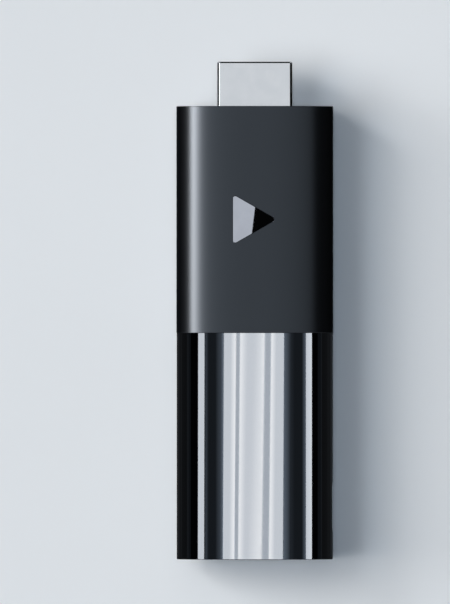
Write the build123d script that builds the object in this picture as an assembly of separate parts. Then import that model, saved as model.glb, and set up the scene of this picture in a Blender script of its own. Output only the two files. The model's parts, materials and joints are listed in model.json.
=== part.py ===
from build123d import *
import math
import os

# A streaming media stick. Two tubular casings, one matt and one glossy, close over a sandwich of
# circuit board, frames and heat spreaders. A display plug leaves one end, and a power inlet and an
# indicator light open on the right-hand side.
#
# Millimetres. X runs across the width, Y along the length towards the plug, and Z up from the
# underside to the face with the emblem. The origin is the centre of the underside.

# Driving dimensions of the outside
TOTAL_LENGTH = 92.4
PLUG_REACH = 8.27
WIDTH = 29.1
THICKNESS = 15.2
GLOSS_STEP = 0.08  # how far the glossy casing lies inside the matt one, on each side
SQUARENESS = 3.0  # exponent of the superellipse across the body
LAND_DEPTH = 0.1  # how much the flat underside cuts off the superellipse

# Places along the length
Y_TIP = TOTAL_LENGTH / 2
Y_SHOULDER = Y_TIP - PLUG_REACH
Y_FOOT = -TOTAL_LENGTH / 2
Y_JOINT = (Y_SHOULDER + Y_FOOT) / 2

# Casing walls and the joint between the casings
HALF_HEIGHT = (THICKNESS + LAND_DEPTH) / 2
Z_MID = THICKNESS - HALF_HEIGHT
WALL = 1.3
END_WALL = 1.4
SPIGOT_WALL = 0.6
SPIGOT_GAP = 0.07
SPIGOT_LENGTH = 3.0
EDGE_ROUND = 0.08
JOINT_ROUND = 0.04
OUTLINE_POINTS = 56

# Circuit board and the frames that clamp it
BOARD = 1.0
Z_TOP = Z_MID + BOARD / 2  # upper face of the board
Z_UNDER = Z_MID - BOARD / 2  # lower face of the board
BOARD_HALF = 12.2
BOARD_Y = (-43.5, 26.8)
TONGUE_HALF = 5.5
TONGUE_END = 30.2
FRAME_HALF = 12.5
FRAME_RAIL = 1.2
FRAME_Y = (-43.9, 34.4)
FRAME_HEIGHT = 2.45
Z_FRAME_TOP = Z_TOP + FRAME_HEIGHT
Z_FRAME_UNDER = Z_UNDER - FRAME_HEIGHT
RIB_X = (11.4, 12.2)
RIB_GAP = 0.05

# Screws: each set is four, mirrored about the centre line
SCREW_X = 9.4
REAR_SCREW_Y = (-27.0, 21.5)
FRONT_SCREW_Y = (-13.5, 28.9)
SHANK_R = 0.7
SCREW_HEAD = (1.2, 0.7)  # radius and height
TAP_R = 0.72
CLEAR_R = 0.85
BOSS_R = 1.6

# Heat spreaders
SPREADER = 1.0
SPREADER_HALF = 10.9
FRONT_SPREADER_Y = (-16.0, 31.6)
REAR_SPREADER_Y = (-29.6, 24.5)
BOSS_PLATE = (9.0, 12.0, 0.6)  # half width, half length and height of the front plate's raised land
PAD_HALF = (5.5, 12.0)

# Display plug: the wide side faces up
PLUG_HALF = 6.95
PLUG_HEIGHT = 4.45
PLUG_SIDE = 2.75  # height of the upright sides, below which the outline slopes in
PLUG_FOOT_HALF = 5.35
PLUG_ROUND = 0.5
PLUG_RIM = 0.26
PLUG_SHEET = 0.3
PLUG_REAR = 27.2
PLUG_LEG = (23.6, 6.3, 8.9)  # rear end along Y, lowest and highest Z
INSULATOR_Y = (32.0, 45.5)
SLOT_BOTTOM = 38.2
SLOT_HALF = 5.6
SLOT_Z = (6.75, 8.65)
CONTACT_WIDTH = 0.3
CONTACT_SHEET = 0.15
CONTACT_PITCH = 1.0
UPPER_CONTACTS = 10
LOWER_CONTACTS = 9

# Power inlet on the right-hand side
INLET_Y = -36.5
INLET_X = (8.95, 13.9)
INLET_HALF = 3.725
INLET_HEIGHT = 2.4
INLET_FOOT_HALF = 2.75
INLET_SHEET = 0.25
INLET_LIP = 0.2
INLET_OPENING = (8.3, 3.3, 0.9)  # length, height and corner radius of the hole in the casing
INLET_RECESS = (9.2, 4.2, 1.3, 14.08)  # the same for the shallow recess, and the X of its floor
INLET_PITCH = 0.65

# Indicator light
LIGHT_Y = -29.5
LIGHT_R = 0.7
LIGHT_BLOCK = 1.4

# Emblem: a plain triangle inlaid in the matt casing
EMBLEM_Y = (Y_JOINT + Y_SHOULDER) / 2
EMBLEM_WIDTH = 8.2
EMBLEM_HEIGHT = 9.4
EMBLEM_ROUND = 0.5
EMBLEM_TOP = THICKNESS - 0.03
EMBLEM_THICKNESS = 0.27
EMBLEM_TAPE = 0.05
EMBLEM_GAP = 0.04

# Radio-frequency shield over the processor
SHIELD_HALF = 10.0
SHIELD_Y = (-10.0, 19.0)
SHIELD_SHEET = 0.2
SHIELD_HEIGHT = 1.5
CHIP_HEIGHT = 1.0


def block(x, y, z):
    """A box between three pairs of coordinates."""
    size = [pair[1] - pair[0] for pair in (x, y, z)]
    middle = [(pair[1] + pair[0]) / 2 for pair in (x, y, z)]
    return Pos(*middle) * Box(*size)


def around(middle, half):
    """The pair of coordinates that lie half each side of middle."""
    return (middle - half, middle + half)


def along_y(profile, y):
    """A profile drawn in X and Z, made solid between two places along the length."""
    return Pos(0, y[1], 0) * (Plane.XZ * extrude(profile, amount=y[1] - y[0]))


def along_x(profile, x):
    """A profile drawn in Y and Z, made solid between two places across the width."""
    return Pos(x[0], 0, 0) * (Plane.YZ * extrude(profile, amount=x[1] - x[0]))


def along_z(profile, z):
    """A profile drawn in X and Y, made solid between two heights."""
    return Pos(0, 0, z[0]) * extrude(profile, amount=z[1] - z[0])


def upright(x, y, z, radius):
    """A cylinder that stands between two heights."""
    return Pos(x, y, (z[0] + z[1]) / 2) * Cylinder(radius, z[1] - z[0])


def at_corners(y_pair):
    """The four places of a screw set."""
    return [(side * SCREW_X, y) for side in (-1, 1) for y in y_pair]


def signed_power(value, exponent):
    """A power that keeps the sign of what it is taken of."""
    return math.copysign(abs(value) ** exponent, value)


def body_section(inset, floor):
    """The body's outline across its length, moved inwards by inset and cut flat at height floor."""
    half_width = WIDTH / 2 - inset
    half_height = HALF_HEIGHT - inset
    cut = math.asin(((Z_MID - floor) / half_height) ** (SQUARENESS / 2))
    points = []
    for i in range(OUTLINE_POINTS + 1):
        angle = -cut + (math.pi + 2 * cut) * i / OUTLINE_POINTS
        x = half_width * signed_power(math.cos(angle), 2 / SQUARENESS)
        z = Z_MID + half_height * signed_power(math.sin(angle), 2 / SQUARENESS)
        points.append((x, z))
    curve = Spline(*points)
    return make_face([curve, Line(curve @ 1, curve @ 0)])


def round_ends(solid, y, radius):
    """Rounds the outline edges of a plain prism at one place along its length."""
    rim = solid.edges().filter_by_position(Axis.Y, y - 0.01, y + 0.01)
    return fillet(rim, radius)


def guide_ribs(y):
    """Four ribs that hold the frames between the floor and the roof of the casings."""
    reach = 5.0
    ribs = []
    for side in (-1, 1):
        x = sorted((side * RIB_X[0], side * RIB_X[1]))
        ribs.append(block(x, y, (Z_FRAME_TOP + RIB_GAP, Z_FRAME_TOP + reach)))
        ribs.append(block(x, y, (Z_FRAME_UNDER - reach, Z_FRAME_UNDER - RIB_GAP)))
    inside = along_y(body_section(WALL - 0.3, WALL - 0.3), y)
    return [rib & inside for rib in ribs]


def snap_ridges(height, slack):
    """Four ridges on the spigot that click into pockets in the other casing."""
    half_long = 3.0 + slack
    y = (Y_JOINT + 1.5 - slack, Y_JOINT + 2.1 + slack)
    spigot = WALL - SPIGOT_WALL
    root = 0.25
    top = THICKNESS - spigot
    side = WIDTH / 2 - spigot
    ridges = [
        block(around(0, half_long), y, (top - root, top + height)),
        block(around(0, half_long), y, (spigot - height, spigot + root)),
    ]
    for sign in (-1, 1):
        x = sorted((sign * (side - root), sign * (side + height)))
        ridges.append(block(x, y, around(Z_MID, half_long - 1)))
    return ridges


def plug_outline(grow=0.0):
    """The display plug's outline in X and Z, moved outwards by grow."""
    top = Z_MID + PLUG_HEIGHT / 2
    foot = top - PLUG_HEIGHT
    shape = make_face(
        Polyline(
            (-PLUG_HALF, top),
            (PLUG_HALF, top),
            (PLUG_HALF, top - PLUG_SIDE),
            (PLUG_FOOT_HALF, foot),
            (-PLUG_FOOT_HALF, foot),
            (-PLUG_HALF, top - PLUG_SIDE),
            close=True,
        )
    )
    shape = fillet(shape.vertices(), PLUG_ROUND)
    return offset(shape, amount=grow) if grow else shape


def emblem_outline(grow=0.0):
    """A triangle that points right, with rounded corners, in X and Y."""
    shape = make_face(
        Polyline(
            (-EMBLEM_WIDTH / 2, EMBLEM_Y - EMBLEM_HEIGHT / 2),
            (EMBLEM_WIDTH / 2, EMBLEM_Y),
            (-EMBLEM_WIDTH / 2, EMBLEM_Y + EMBLEM_HEIGHT / 2),
            close=True,
        )
    )
    shape = fillet(shape.vertices(), EMBLEM_ROUND)
    return offset(shape, amount=grow) if grow else shape


def matte_casing():
    """The upper casing: a tube closed at the plug end, with the emblem's pocket in its face."""
    outer = along_y(body_section(0, 0), (Y_JOINT, Y_SHOULDER))
    outer = round_ends(outer, Y_SHOULDER, EDGE_ROUND)
    outer = round_ends(outer, Y_JOINT, JOINT_ROUND)
    y_inside = Y_SHOULDER - END_WALL
    socket = WALL - SPIGOT_WALL - SPIGOT_GAP
    casing = outer - along_y(body_section(WALL, WALL), (Y_JOINT - 1, y_inside))
    casing -= along_y(body_section(socket, socket), (Y_JOINT - 1, Y_JOINT + SPIGOT_LENGTH + 0.2))
    for pocket in snap_ridges(0.3, 0.06):
        casing -= pocket
    casing += guide_ribs((Y_JOINT + SPIGOT_LENGTH + 1.5, y_inside))
    casing -= along_y(plug_outline(0.15), (y_inside - 1, Y_SHOULDER + 1))
    pocket_floor = EMBLEM_TOP - EMBLEM_THICKNESS - EMBLEM_TAPE
    casing -= along_z(emblem_outline(EMBLEM_GAP), (pocket_floor, THICKNESS + 1))
    return casing


def gloss_casing():
    """The lower casing: a tube closed at the far end, with the spigot, the inlet and the light."""
    outer = along_y(body_section(GLOSS_STEP, 0), (Y_FOOT, Y_JOINT))
    outer = round_ends(outer, Y_FOOT, EDGE_ROUND)
    outer = round_ends(outer, Y_JOINT, JOINT_ROUND)
    spigot = WALL - SPIGOT_WALL
    y_inside = Y_FOOT + END_WALL
    casing = outer + along_y(body_section(spigot, spigot), (Y_JOINT - 1, Y_JOINT + SPIGOT_LENGTH))
    casing -= along_y(body_section(WALL, WALL), (y_inside, Y_JOINT + SPIGOT_LENGTH + 1))
    casing += snap_ridges(0.22, 0.0)
    casing += guide_ribs((y_inside, Y_JOINT - 1))
    length, height, radius = INLET_OPENING
    hole = Pos(INLET_Y, Z_MID) * RectangleRounded(length, height, radius)
    casing -= along_x(hole, (WIDTH / 2 - 4, WIDTH / 2 + 1))
    length, height, radius, x_floor = INLET_RECESS
    recess = Pos(INLET_Y, Z_MID) * RectangleRounded(length, height, radius)
    casing -= along_x(recess, (x_floor, WIDTH / 2 + 1))
    light = Pos(LIGHT_Y, Z_MID) * Circle(LIGHT_R + 0.05)
    casing -= along_x(light, (WIDTH / 2 - 4, WIDTH / 2 + 1))
    return casing


def emblem_parts():
    """The emblem and the tape that holds it in its pocket."""
    z_tape = EMBLEM_TOP - EMBLEM_THICKNESS
    inlay = along_z(emblem_outline(), (z_tape, EMBLEM_TOP))
    top_edges = inlay.edges().filter_by_position(Axis.Z, EMBLEM_TOP - 0.01, EMBLEM_TOP + 0.01)
    inlay = chamfer(top_edges, 0.06)
    tape = along_z(emblem_outline(-0.2), (z_tape - EMBLEM_TAPE, z_tape))
    return inlay, tape


def plug_shell():
    """The plug's folded steel shell, with its lead-in and the two legs that pass the board."""
    outer = along_y(plug_outline(), (PLUG_REAR, Y_TIP))
    outer = round_ends(outer, Y_TIP, PLUG_RIM)
    shell = outer - along_y(plug_outline(-PLUG_SHEET), (PLUG_REAR - 1, Y_TIP + 1))
    rear, low, high = PLUG_LEG
    for side in (-1, 1):
        x = sorted((side * (PLUG_HALF - PLUG_SHEET), side * PLUG_HALF))
        shell += block(x, (rear, PLUG_REAR + 0.5), (low, high))
    return shell


def contact_places(count):
    """The X of each contact in a row that is centred on the plug."""
    return [(i - (count - 1) / 2) * CONTACT_PITCH for i in range(count)]


def strip(path, thickness):
    """The profile of a bent sheet-metal strip along a path that runs forwards."""
    upper, lower = [], []
    for i, (a, b) in enumerate(path):
        before = path[max(i - 1, 0)]
        after = path[min(i + 1, len(path) - 1)]
        slope = math.atan2(after[1] - before[1], after[0] - before[0])
        across = (-math.sin(slope) * thickness / 2, math.cos(slope) * thickness / 2)
        upper.append((a + across[0], b + across[1]))
        lower.append((a - across[0], b - across[1]))
    return make_face(Polyline(*upper, *reversed(lower), close=True))


def contact_path(side):
    """The line of one contact in Y and Z: solder tail, rise, long spring arm and its bowed tip."""
    sheet = CONTACT_SHEET / 2
    if side > 0:
        tail, arm, bow = Z_TOP + sheet + 0.01, SLOT_Z[1] + sheet, SLOT_Z[1] - 0.15
    else:
        tail, arm, bow = Z_UNDER - sheet - 0.01, SLOT_Z[0] - sheet, SLOT_Z[0] + 0.15
    return [(27.9, tail), (30.4, tail), (31.2, arm), (42.2, arm), (43.2, bow), (44.2, arm)]


def plug_contacts(side, count):
    """One row of the plug's contacts, each a separate strip."""
    profile = strip(contact_path(side), CONTACT_SHEET)
    half = CONTACT_WIDTH / 2
    return [along_x(profile, around(x, half)) for x in contact_places(count)]


def plug_insulator():
    """The moulding inside the plug, with the slot for the mating tongue and a groove per contact."""
    body = along_y(plug_outline(-PLUG_SHEET - 0.04), INSULATOR_Y)
    body -= block(around(0, SLOT_HALF), (SLOT_BOTTOM, Y_TIP), SLOT_Z)
    groove = CONTACT_WIDTH / 2 + 0.06
    depth = CONTACT_SHEET + 0.1
    for x in contact_places(UPPER_CONTACTS):
        body -= block(around(x, groove), (FRAME_Y[0], Y_TIP), (SLOT_Z[1] - 0.05, SLOT_Z[1] + depth))
    for x in contact_places(LOWER_CONTACTS):
        body -= block(around(x, groove), (FRAME_Y[0], Y_TIP), (SLOT_Z[0] - depth, SLOT_Z[0] + 0.05))
    return body


def plug_rear_block():
    """The moulding at the back of the plug, open where the board's tongue meets the contacts."""
    body = along_y(plug_outline(-PLUG_SHEET - 0.04), (PLUG_REAR + 0.2, INSULATOR_Y[0] - 0.05))
    window = along_y(
        Pos(0, Z_MID) * Rectangle(2 * SLOT_HALF, SLOT_Z[1] - SLOT_Z[0] + 0.7),
        (PLUG_REAR - 1, INSULATOR_Y[0] + 1),
    )
    return body - window


def plug_gasket():
    """The silicone ring that centres the plug and closes the gap behind the end wall."""
    y = (FRAME_Y[1] + 0.05, Y_SHOULDER - END_WALL - 0.05)
    outer = Pos(0, Z_MID) * RectangleRounded(17.6, 8.0, 2.2)
    return along_y(outer - plug_outline(0.01), y)


def inlet_outline(grow=0.0):
    """The power inlet's outline in Y and Z, wide side up."""
    half_height = INLET_HEIGHT / 2
    shape = make_face(
        Polyline(
            (INLET_Y - INLET_HALF, Z_MID + half_height),
            (INLET_Y + INLET_HALF, Z_MID + half_height),
            (INLET_Y + INLET_HALF, Z_MID - 0.1),
            (INLET_Y + INLET_FOOT_HALF, Z_MID - half_height),
            (INLET_Y - INLET_FOOT_HALF, Z_MID - half_height),
            (INLET_Y - INLET_HALF, Z_MID - 0.1),
            close=True,
        )
    )
    shape = fillet(shape.vertices(), 0.35)
    return offset(shape, amount=grow) if grow else shape


def inlet_shell():
    """The inlet's steel shell: closed at the back, with a flared lip and four solder tabs."""
    back, mouth = INLET_X
    shell = along_x(inlet_outline(), INLET_X)
    shell += along_x(inlet_outline(INLET_LIP), (mouth - INLET_SHEET, mouth))
    shell -= along_x(inlet_outline(-INLET_SHEET), (back + INLET_SHEET, mouth + 1))
    for side in (-1, 1):
        y = sorted((INLET_Y + side * (INLET_HALF - 0.2), INLET_Y + side * (INLET_HALF + 1.0)))
        for x in ((9.4, 10.4), (11.0, 12.0)):
            shell += block(x, y, (Z_TOP, Z_TOP + 0.2))
    return shell


def inlet_tongue():
    """The inlet's moulding: a base at the back of the shell and the tongue that the plug surrounds."""
    back = INLET_X[0] + INLET_SHEET
    body = along_x(inlet_outline(-INLET_SHEET - 0.03), (back + 0.02, back + 1.2))
    return body + block((back + 0.5, 13.5), around(INLET_Y, 1.85), (Z_MID + 0.05, Z_MID + 0.62))


def inlet_contacts():
    """Five contacts on the underside of the tongue."""
    x = (INLET_X[0] + INLET_SHEET + 1.2, 13.3)
    z = (Z_MID - 0.05, Z_MID + 0.05)
    return [block(x, around(INLET_Y + i * INLET_PITCH, 0.15), z) for i in range(-2, 3)]


def board_outline():
    """The board in X and Y: full width behind the plug, then a narrow tongue that enters it."""
    y_low, y_high = BOARD_Y
    middle = (y_low + y_high) / 2
    outline = Pos(0, middle) * RectangleRounded(2 * BOARD_HALF, y_high - y_low, 0.8)
    tongue = Pos(0, (y_high + TONGUE_END) / 2 - 1)
    outline += tongue * Rectangle(2 * TONGUE_HALF, TONGUE_END - y_high + 2)
    return outline


def main_board():
    """The circuit board, notched for the plug's legs, the inlet and the light pipe."""
    board = along_z(board_outline(), (Z_UNDER, Z_TOP))
    through = (Z_UNDER - 1, Z_TOP + 1)
    for side in (-1, 1):
        x = around(side * (PLUG_HALF - PLUG_SHEET / 2), PLUG_SHEET / 2 + 0.1)
        board -= block(x, (PLUG_LEG[0] - 0.2, BOARD_Y[1] + 1), through)
    inlet_y = around(INLET_Y, INLET_HALF + 0.12)
    board -= block((INLET_X[0] - 0.2, BOARD_HALF + 1), inlet_y, through)
    board -= block((10.3, BOARD_HALF + 1), around(LIGHT_Y, LIGHT_BLOCK / 2 + 0.2), through)
    for x, y in at_corners(REAR_SCREW_Y):
        board -= upright(x, y, through, CLEAR_R)
    return board


def frame_ring(z):
    """One frame: a rail all round the board, with bosses for the screws."""
    y_low, y_high = FRAME_Y
    middle = (y_low + y_high) / 2
    length = y_high - y_low
    outer = Pos(0, middle) * RectangleRounded(2 * FRAME_HALF, length, 1.8)
    inner = Pos(0, middle) * RectangleRounded(
        2 * (FRAME_HALF - FRAME_RAIL), length - 2 * FRAME_RAIL, 0.8
    )
    ring = along_z(outer - inner, z)
    for x, y in at_corners(REAR_SCREW_Y) + at_corners(FRONT_SCREW_Y):
        web = sorted((x, math.copysign(FRAME_HALF - 0.5, x)))
        ring += upright(x, y, z, BOSS_R)
        ring += block(web, around(y, 1.0), z)
    ring -= along_y(plug_outline(0.05), (PLUG_REAR - 5, FRAME_Y[1] + 1))
    light = around(LIGHT_Y, LIGHT_BLOCK / 2 + 0.3)
    ring -= block((9.5, FRAME_HALF + 1), light, around(Z_MID, 1.45))
    inlet = around(INLET_Y, INLET_HALF + 1.15)
    return ring - block((8.8, FRAME_HALF + 1), inlet, around(Z_MID, INLET_HEIGHT / 2 + 0.2))


def frames():
    """The frames above and below the board, drilled for the two screw sets."""
    upper = frame_ring((Z_TOP, Z_FRAME_TOP))
    lower = frame_ring((Z_FRAME_UNDER, Z_UNDER))
    for x, y in at_corners(REAR_SCREW_Y):
        upper -= upright(x, y, (Z_TOP - 1, Z_FRAME_TOP - 0.3), TAP_R)
        lower -= upright(x, y, (Z_FRAME_UNDER - 1, Z_UNDER + 1), CLEAR_R)
    for x, y in at_corners(FRONT_SCREW_Y):
        upper -= upright(x, y, (Z_TOP - 1, Z_FRAME_TOP + 1), TAP_R)
    return upper, lower


def spreader_plate(y, z):
    """A flat plate with rounded corners."""
    outline = Pos(0, (y[0] + y[1]) / 2) * RectangleRounded(2 * SPREADER_HALF, y[1] - y[0], 1.6)
    return along_z(outline, z)


def front_heat_spreader():
    """The plate over the processor, with a raised land that reaches towards the casing."""
    z_face = Z_FRAME_TOP + SPREADER
    plate = spreader_plate(FRONT_SPREADER_Y, (Z_FRAME_TOP, z_face))
    half_width, half_length, height = BOSS_PLATE
    land = Pos(0, sum(FRONT_SPREADER_Y) / 2)
    land *= RectangleRounded(2 * half_width, 2 * half_length, 1.5)
    plate += along_z(land, (z_face - 0.1, z_face + height))
    for x, y in at_corners(FRONT_SCREW_Y):
        plate -= upright(x, y, (Z_FRAME_TOP - 1, z_face + 1), CLEAR_R)
    return plate


def rear_heat_spreader():
    """The plate under the memory chip, held by the long screws."""
    plate = spreader_plate(REAR_SPREADER_Y, (Z_FRAME_UNDER - SPREADER, Z_FRAME_UNDER))
    for x, y in at_corners(REAR_SCREW_Y):
        plate -= upright(x, y, (Z_FRAME_UNDER - 2, Z_FRAME_UNDER + 1), CLEAR_R)
    return plate


def screw(x, y, z_seat, z_end):
    """One cross-head screw: its head sits on z_seat and its shank runs to z_end."""
    radius, height = SCREW_HEAD
    away = math.copysign(1, z_seat - z_end)
    z_crown = z_seat + away * height
    head = upright(x, y, sorted((z_seat, z_crown)), radius)
    crown = head.edges().filter_by_position(Axis.Z, z_crown - 0.01, z_crown + 0.01)
    head = fillet(crown, 0.25)
    cross_z = sorted((z_crown - away * 0.4, z_crown + away * 0.1))
    head -= block(around(x, 0.16), around(y, 0.7), cross_z)
    head -= block(around(x, 0.7), around(y, 0.16), cross_z)
    return head + upright(x, y, sorted((z_seat, z_end)), SHANK_R)


def screws():
    """The two screw sets: long ones from below, short ones from above."""
    z_rear = Z_FRAME_UNDER - SPREADER
    z_front = Z_FRAME_TOP + SPREADER
    rear = [screw(x, y, z_rear, Z_FRAME_TOP - 0.5) for x, y in at_corners(REAR_SCREW_Y)]
    front = [screw(x, y, z_front, Z_TOP + 0.4) for x, y in at_corners(FRONT_SCREW_Y)]
    return rear, front


def thermal_pads():
    """The soft pads: chip to shield, shield to plate, memory to plate, and plates to casings."""
    z_lid = Z_TOP + SHIELD_HEIGHT + SHIELD_SHEET
    z_chip = Z_TOP + CHIP_HEIGHT
    soc_x, soc_y = around(-1.5, 5.4), around(10.2, 5.4)
    plate_middle = sum(FRONT_SPREADER_Y) / 2
    z_land = Z_FRAME_TOP + SPREADER + BOSS_PLATE[2]
    wide, long = PAD_HALF
    under = Z_FRAME_UNDER - SPREADER
    rear_y = around(2.0, long)
    inside = along_y(body_section(WALL + 0.02, WALL + 0.02), rear_y)
    rear = block(around(0, wide), rear_y, (WALL, under)) & inside
    return {
        "soc_thermal_pad": block(soc_x, soc_y, (z_chip, z_lid - SHIELD_SHEET)),
        "shield_thermal_pad": block(around(0, 8.0), around(8.5, 8.0), (z_lid, Z_FRAME_TOP)),
        "memory_thermal_pad": block(around(0, 5.0), around(6.5, 5.6), (Z_FRAME_UNDER, Z_UNDER - 0.9)),
        "front_gap_pad": block(around(0, wide), around(plate_middle, long - 1), (z_land, 13.68)),
        "rear_gap_pad": rear,
    }


def shield_fence():
    """The soldered wall of the shield, with a lip that the lid rests on."""
    middle = sum(SHIELD_Y) / 2
    length = SHIELD_Y[1] - SHIELD_Y[0]
    ring = Pos(0, middle) * RectangleRounded(2 * SHIELD_HALF, length, 0.8)
    hollow = Pos(0, middle) * RectangleRounded(
        2 * (SHIELD_HALF - SHIELD_SHEET), length - 2 * SHIELD_SHEET, 0.6
    )
    lip = Pos(0, middle) * RectangleRounded(2 * SHIELD_HALF - 2.4, length - 2.4, 0.6)
    z_lip = Z_TOP + SHIELD_HEIGHT - SHIELD_SHEET
    wall = along_z(ring - hollow, (Z_TOP, Z_TOP + SHIELD_HEIGHT))
    return wall + along_z(ring - lip, (z_lip, Z_TOP + SHIELD_HEIGHT))


def shield_lid():
    """The lid that clips over the fence, with rows of dimples that grip it."""
    middle = sum(SHIELD_Y) / 2
    length = SHIELD_Y[1] - SHIELD_Y[0]
    gap = 0.03
    reach = gap + SHIELD_SHEET
    outer = Pos(0, middle) * RectangleRounded(2 * (SHIELD_HALF + reach), length + 2 * reach, 1.0)
    hollow = Pos(0, middle) * RectangleRounded(2 * (SHIELD_HALF + gap), length + 2 * gap, 0.82)
    z_roof = Z_TOP + SHIELD_HEIGHT
    lid = along_z(outer, (Z_TOP + 0.4, z_roof + SHIELD_SHEET))
    lid -= along_z(hollow, (Z_TOP, z_roof))
    for i in range(-2, 3):
        y = middle + i * 5.5
        for side in (-1, 1):
            lid -= block(around(side * SHIELD_HALF, 1), around(y, 0.2), (Z_TOP, z_roof - 0.25))
    return lid


def chips():
    """The large packages on both faces of the board."""
    top = (Z_TOP, Z_TOP + CHIP_HEIGHT)
    memory = [block(around(x, 4.0), around(-3.6, 5.2), top) for x in (-4.8, 4.8)]
    return {
        "processor_chip": block(around(-1.5, 6.0), around(10.2, 6.0), top),
        "memory_chips": memory,
        "storage_chip": block(around(0, 5.75), around(6.5, 6.5), (Z_UNDER - 0.9, Z_UNDER)),
        "system_crystal": block(around(7.6, 1.0), around(10.2, 1.25), (Z_TOP, Z_TOP + 0.6)),
    }


def radio_parts():
    """The radio module's own small board and the can over it."""
    x, y = around(-1.5, 6.0), around(-32.5, 6.3)
    module = block(x, y, (Z_TOP, Z_TOP + 0.5))
    x_can, y_can = around(-1.5, 5.6), around(-32.5, 5.9)
    can = block(x_can, y_can, (Z_TOP + 0.5, Z_TOP + 1.7))
    rim = can.edges().filter_by_position(Axis.Z, Z_TOP + 1.69, Z_TOP + 1.71)
    can = fillet(rim, 0.25)
    x_in, y_in = around(-1.5, 5.45), around(-32.5, 5.75)
    return module, can - block(x_in, y_in, (Z_TOP, Z_TOP + 1.55))


def power_parts():
    """The regulators, their wound inductors and the bulk capacitors."""
    columns = (-5.5, -0.5, 4.5)
    inductors = [block(around(x, 1.6), around(-21.5, 1.6), (Z_TOP, Z_TOP + 1.8)) for x in columns]
    inductors = [fillet(part.edges().filter_by(Axis.Z), 0.4) for part in inductors]
    regulators = [block(around(x, 1.25), around(-17.3, 1.25), (Z_TOP, Z_TOP + 0.75)) for x in columns]
    bulk = [block(around(x, 1.0), around(-13.6, 0.62), (Z_TOP, Z_TOP + 1.2)) for x in (-5, -1.7, 1.7, 5)]
    return {
        "power_inductors": inductors,
        "voltage_regulators": regulators,
        "bulk_capacitors": bulk,
    }


def small_parts():
    """The small components, in rows on both faces of the board."""
    size = (0.5, 0.25, 0.5)  # half length, half width and height of the small chip parts

    def chip(x, y, z):
        return block(around(x, size[0]), around(y, size[1]), z)

    above, below = (Z_TOP, Z_TOP + size[2]), (Z_UNDER - size[2], Z_UNDER)
    capacitors = [chip(-6 + 2.4 * i, -3 - 1.4 * j, below) for i in range(6) for j in range(3)]
    capacitors += [chip(-6 + 2.4 * i, -10.6, above) for i in range(6)]
    resistors = [chip(-6 + 2.4 * i, -11 - 1.4 * j, below) for i in range(6) for j in range(3)]
    resistors += [chip(-5.4 + 1.8 * i, -24.8, above) for i in range(7)]
    choke_z = (Z_TOP, Z_TOP + 0.55)
    chokes = [block(around(x, 0.62), around(21.9, 0.5), choke_z) for x in (-4.5, -1.5, 1.5, 4.5)]
    arrays = [block(around(x, 1.25), around(24.6, 0.5), (Z_TOP, Z_TOP + 0.5)) for x in (-2.4, 2.4)]
    pads = [upright(-7 + 2.0 * i, -36.0, (Z_UNDER - 0.04, Z_UNDER), 0.5) for i in range(8)]
    return {
        "ceramic_capacitors": capacitors,
        "chip_resistors": resistors,
        "signal_chokes": chokes,
        "surge_arrays": arrays,
        "test_pads": pads,
    }


def board_antenna():
    """The copper antenna at the board's far end: a feed, a ground leg and a folded arm."""
    copper = (Z_TOP, Z_TOP + 0.05)
    width = 0.25
    feed = (-42.3, -39.6)
    parts = [
        block(around(-3.0, width), feed, copper),
        block(around(-5.0, width), feed, copper),
        block((-5.25, 6.0), around(-42.3, width), copper),
    ]
    parts += [block(around(1.0 + 1.25 * i, width), (-42.3, -40.4), copper) for i in range(5)]
    parts += [block((1.0 + 2.5 * i, 2.25 + 2.5 * i), around(-40.4, width), copper) for i in range(2)]
    antenna = parts[0]
    for part in parts[1:]:
        antenna += part
    return antenna


def light_parts():
    """The light-emitting chip and the clear pipe that carries its light to the casing's side."""
    led = block((8.6, 9.6), around(LIGHT_Y, 0.8), (Z_TOP, Z_TOP + 0.7))
    half = LIGHT_BLOCK / 2
    pipe = block((9.7, 12.1), around(LIGHT_Y, half), (Z_TOP + 0.05, Z_TOP + 0.8))
    pipe += block((10.45, 12.1), around(LIGHT_Y, half), (Z_MID - half, Z_TOP + 0.3))
    rod = Pos(LIGHT_Y, Z_MID) * Circle(LIGHT_R)
    return led, pipe + along_x(rod, (12.0, WIDTH / 2 - GLOSS_STEP - 0.15))


def end_cushion():
    """The foam strip between the frames and the far end of the casing."""
    return block(around(0, 8.0), (Y_FOOT + END_WALL + 0.05, FRAME_Y[0] - 0.05), around(Z_MID, 2.6))


def save(node, shape):
    """Writes one node: a shape, or a list of separate solids."""
    solids = shape if isinstance(shape, list) else [shape]
    export_step(Compound(children=solids), f"parts/{node}.step")


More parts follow.
